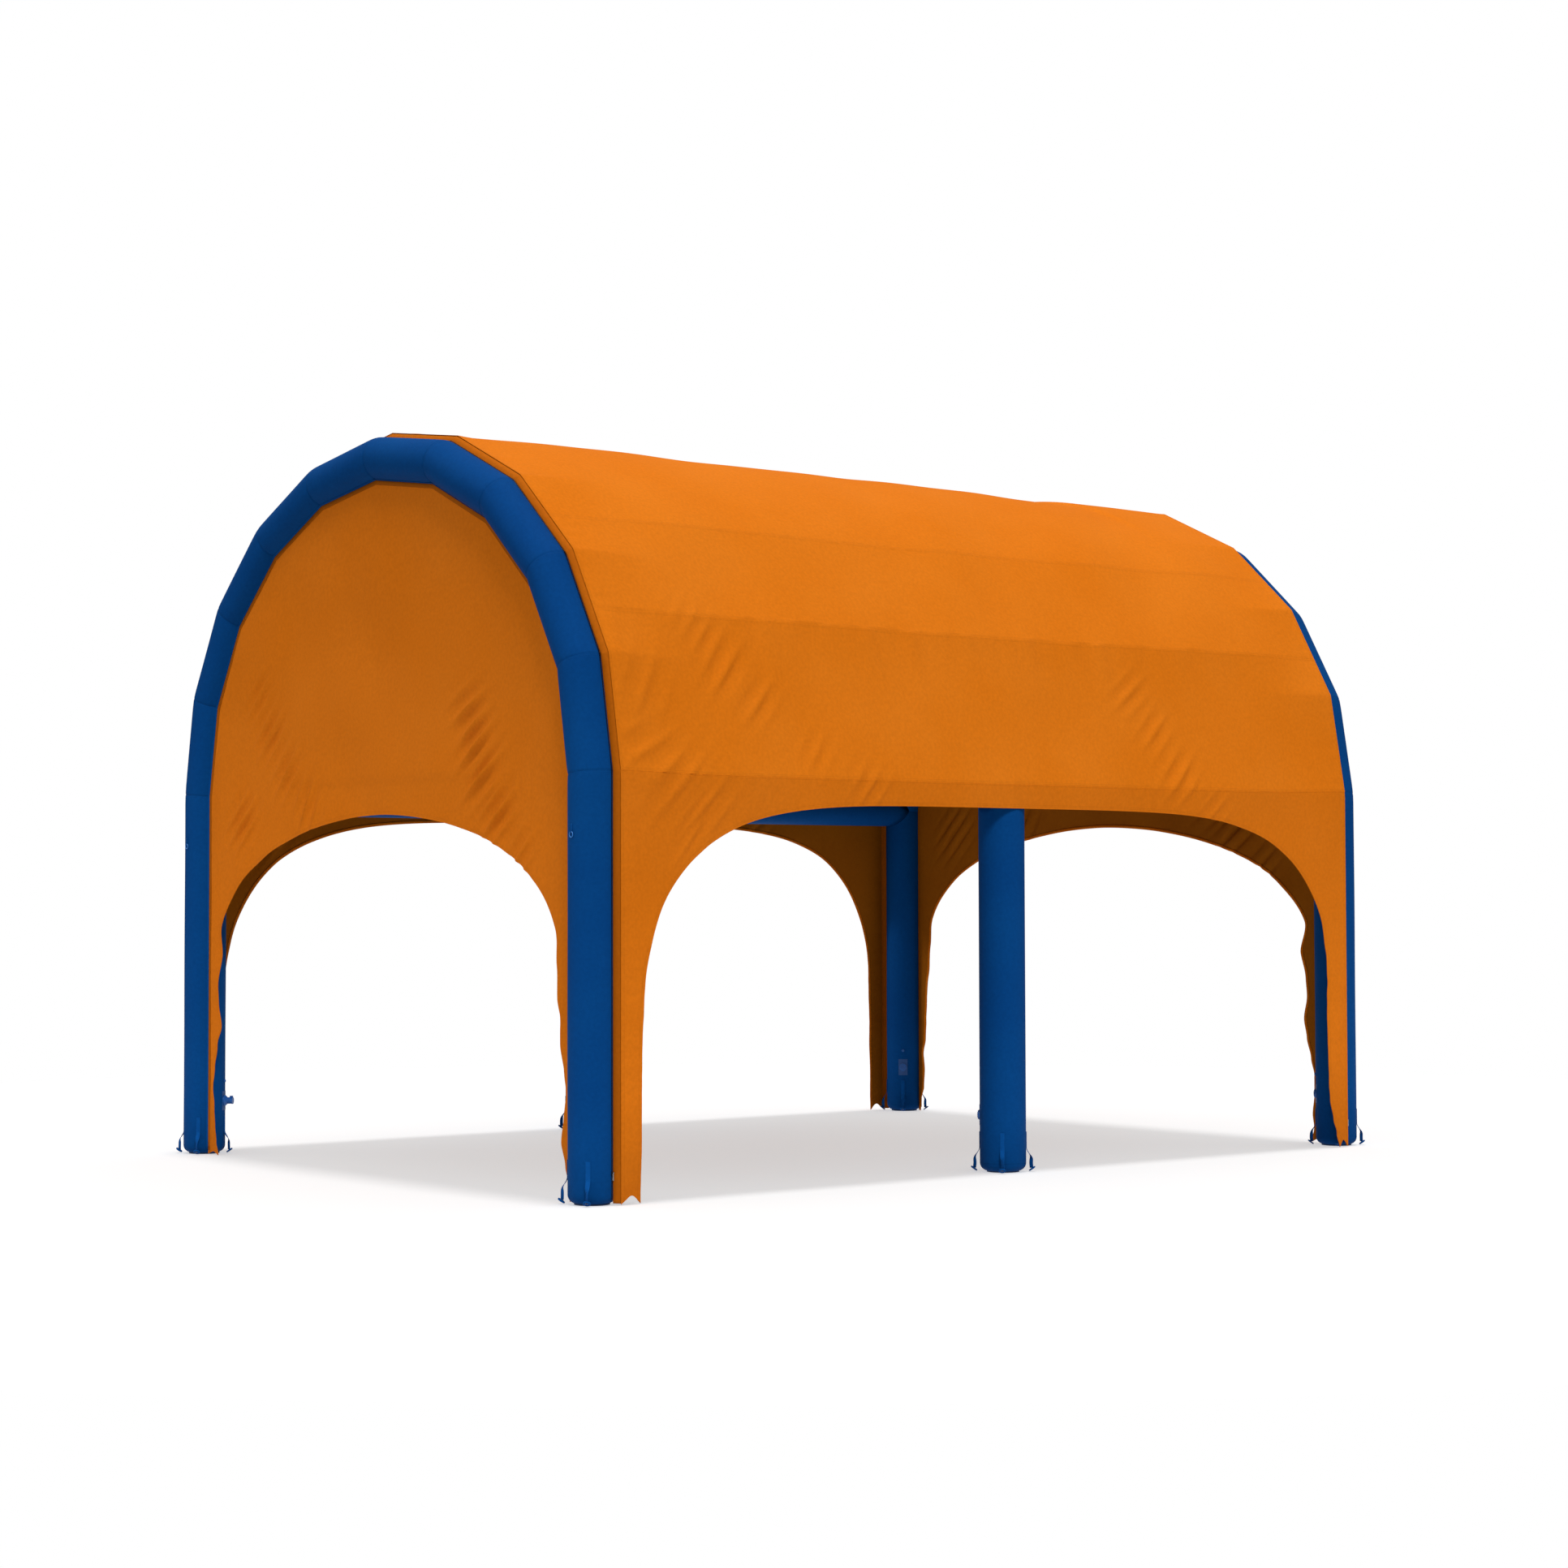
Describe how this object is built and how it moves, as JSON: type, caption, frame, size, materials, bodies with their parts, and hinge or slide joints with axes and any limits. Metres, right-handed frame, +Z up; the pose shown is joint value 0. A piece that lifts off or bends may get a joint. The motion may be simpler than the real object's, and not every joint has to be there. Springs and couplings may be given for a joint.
{
  "type": "air-beam shelter tent",
  "caption": "Walk-in shelter of inflatable arches, eave beams and posts carrying a barrel canopy with arched doorways on all sides.",
  "frame": {"origin": "on the ground, at the centre of the footprint", "axes": "+X across the shelter, +Y from the front arch to the rear arch, +Z up"},
  "size_m": [4.4086, 5.9706, 4.1895],
  "materials": {
    "tube_fabric": "coated polyester, blue, satin",
    "bladder_film": "clear blue airtight film",
    "canopy_fabric": "coated polyester canopy, orange, matt",
    "wall_fabric": "coated polyester wall, orange, matt",
    "edge_tape": "woven edge tape, dark orange",
    "zip_nylon": "black moulded nylon coil and slider",
    "pull_nylon": "black moulded nylon",
    "webbing": "woven polypropylene webbing, blue",
    "ring_nylon": "blue moulded nylon",
    "coated_patch": "coated reinforcement patch, blue",
    "hose_rubber": "black moulded rubber",
    "valve_nylon": "blue moulded nylon"
  },
  "bodies": {
    "frame": {"front_arch_sleeve": "tube_fabric", "rear_arch_sleeve": "tube_fabric", "left_beam_sleeve": "tube_fabric", "right_beam_sleeve": "tube_fabric", "left_post_sleeve": "tube_fabric", "right_post_sleeve": "tube_fabric", "front_arch_bladder": "bladder_film", "rear_arch_bladder": "bladder_film", "left_beam_bladder": "bladder_film", "right_beam_bladder": "bladder_film", "left_post_bladder": "bladder_film", "right_post_bladder": "bladder_film", "air_hoses": "hose_rubber", "roof_canopy": "canopy_fabric", "left_side_wall": "wall_fabric", "right_side_wall": "wall_fabric", "front_end_wall": "wall_fabric", "rear_end_wall": "wall_fabric", "front_canopy_flange": "edge_tape", "rear_canopy_flange": "edge_tape", "front_canopy_zip": "zip_nylon", "rear_canopy_zip": "zip_nylon", "front_wall_piping": "webbing", "rear_wall_piping": "webbing", "left_doorway_binding": "edge_tape", "right_doorway_binding": "edge_tape", "front_doorway_binding": "edge_tape", "rear_doorway_binding": "edge_tape", "wear_pads": "coated_patch", "anchor_straps": "webbing", "peg_tabs": "webbing", "guy_loops": "webbing", "inflation_valve": "valve_nylon", "dump_valves": "valve_nylon", "dump_seals": "hose_rubber", "valve_patches": "coated_patch", "relief_valves": "valve_nylon"},
    "front_left_ring": {"front_left_ring": "ring_nylon"},
    "front_left_slider": {"front_left_slider": "zip_nylon"},
    "front_left_pull": {"front_left_pull": "pull_nylon"},
    "front_right_ring": {"front_right_ring": "ring_nylon"},
    "front_right_slider": {"front_right_slider": "zip_nylon"},
    "front_right_pull": {"front_right_pull": "pull_nylon"},
    "rear_left_ring": {"rear_left_ring": "ring_nylon"},
    "rear_left_slider": {"rear_left_slider": "zip_nylon"},
    "rear_left_pull": {"rear_left_pull": "pull_nylon"},
    "rear_right_ring": {"rear_right_ring": "ring_nylon"},
    "rear_right_slider": {"rear_right_slider": "zip_nylon"},
    "rear_right_pull": {"rear_right_pull": "pull_nylon"},
    "inflation_plunger": {"inflation_plunger": "valve_nylon"},
    "inflation_cap": {"inflation_cap": "valve_nylon"},
    "front_right_dump_cap": {"front_right_dump_cap": "valve_nylon"},
    "rear_left_dump_cap": {"rear_left_dump_cap": "valve_nylon"},
    "rear_right_dump_cap": {"rear_right_dump_cap": "valve_nylon"},
    "left_post_dump_cap": {"left_post_dump_cap": "valve_nylon"},
    "right_post_dump_cap": {"right_post_dump_cap": "valve_nylon"}
  },
  "joints": [
    {"name": "front_left_ring_swing", "type": "hinge", "parent": "frame", "child": "front_left_ring", "pos_m": [-2.05, -2.9803, 1.89], "axis": [-1, 0, 0], "range_deg": [0, 165]},
    {"name": "front_left_slider_travel", "type": "slide", "parent": "frame", "child": "front_left_slider", "axis": [0, 0, 1], "range_m": [0, 1.9]},
    {"name": "front_left_pull_flip", "type": "hinge", "parent": "front_left_slider", "child": "front_left_pull", "pos_m": [-2.17881, -2.81062, 0.164], "axis": [0.2924, 0.9563, 0], "range_deg": [0, 150]},
    {"name": "front_right_ring_swing", "type": "hinge", "parent": "frame", "child": "front_right_ring", "pos_m": [2.05, -2.9803, 1.89], "axis": [-1, 0, 0], "range_deg": [0, 165]},
    {"name": "front_right_slider_travel", "type": "slide", "parent": "frame", "child": "front_right_slider", "axis": [0, 0, 1], "range_m": [0, 1.9]},
    {"name": "front_right_pull_flip", "type": "hinge", "parent": "front_right_slider", "child": "front_right_pull", "pos_m": [2.17881, -2.81062, 0.164], "axis": [0.2924, -0.9563, 0], "range_deg": [0, 150]},
    {"name": "rear_left_ring_swing", "type": "hinge", "parent": "frame", "child": "rear_left_ring", "pos_m": [-2.05, 2.9803, 1.89], "axis": [1, 0, 0], "range_deg": [0, 165]},
    {"name": "rear_left_slider_travel", "type": "slide", "parent": "frame", "child": "rear_left_slider", "axis": [0, 0, 1], "range_m": [0, 1.9]},
    {"name": "rear_left_pull_flip", "type": "hinge", "parent": "rear_left_slider", "child": "rear_left_pull", "pos_m": [-2.17881, 2.81062, 0.164], "axis": [-0.2924, 0.9563, 0], "range_deg": [0, 150]},
    {"name": "rear_right_ring_swing", "type": "hinge", "parent": "frame", "child": "rear_right_ring", "pos_m": [2.05, 2.9803, 1.89], "axis": [1, 0, 0], "range_deg": [0, 165]},
    {"name": "rear_right_slider_travel", "type": "slide", "parent": "frame", "child": "rear_right_slider", "axis": [0, 0, 1], "range_m": [0, 1.9]},
    {"name": "rear_right_pull_flip", "type": "hinge", "parent": "rear_right_slider", "child": "rear_right_pull", "pos_m": [2.17881, 2.81062, 0.164], "axis": [-0.2924, -0.9563, 0], "range_deg": [0, 150]},
    {"name": "inflation_plunger_press", "type": "slide", "parent": "frame", "child": "inflation_plunger", "axis": [-0.7071, -0.7071, 0], "range_m": [0, 0.006], "stiffness_N_per_m": 400, "springref_m": -0.004},
    {"name": "inflation_cap_lid", "type": "hinge", "parent": "frame", "child": "inflation_cap", "pos_m": [-1.92626, -2.72626, 0.346], "axis": [0.7071, -0.7071, 0], "range_deg": [0, 160]},
    {"name": "front_right_dump_cap_turn", "type": "hinge", "parent": "frame", "child": "front_right_dump_cap", "pos_m": [1.95808, -2.75808, 0.32], "axis": [-0.7071, 0.7071, 0], "range_deg": [0, 90]},
    {"name": "rear_left_dump_cap_turn", "type": "hinge", "parent": "frame", "child": "rear_left_dump_cap", "pos_m": [-1.95808, 2.75808, 0.32], "axis": [0.7071, -0.7071, 0], "range_deg": [0, 90]},
    {"name": "rear_right_dump_cap_turn", "type": "hinge", "parent": "frame", "child": "rear_right_dump_cap", "pos_m": [1.95808, 2.75808, 0.32], "axis": [-0.7071, -0.7071, 0], "range_deg": [0, 90]},
    {"name": "left_post_dump_cap_turn", "type": "hinge", "parent": "frame", "child": "left_post_dump_cap", "pos_m": [-1.95808, -0.09192, 0.32], "axis": [0.7071, -0.7071, 0], "range_deg": [0, 90]},
    {"name": "right_post_dump_cap_turn", "type": "hinge", "parent": "frame", "child": "right_post_dump_cap", "pos_m": [1.95808, -0.09192, 0.32], "axis": [-0.7071, -0.7071, 0], "range_deg": [0, 90]}
  ]
}
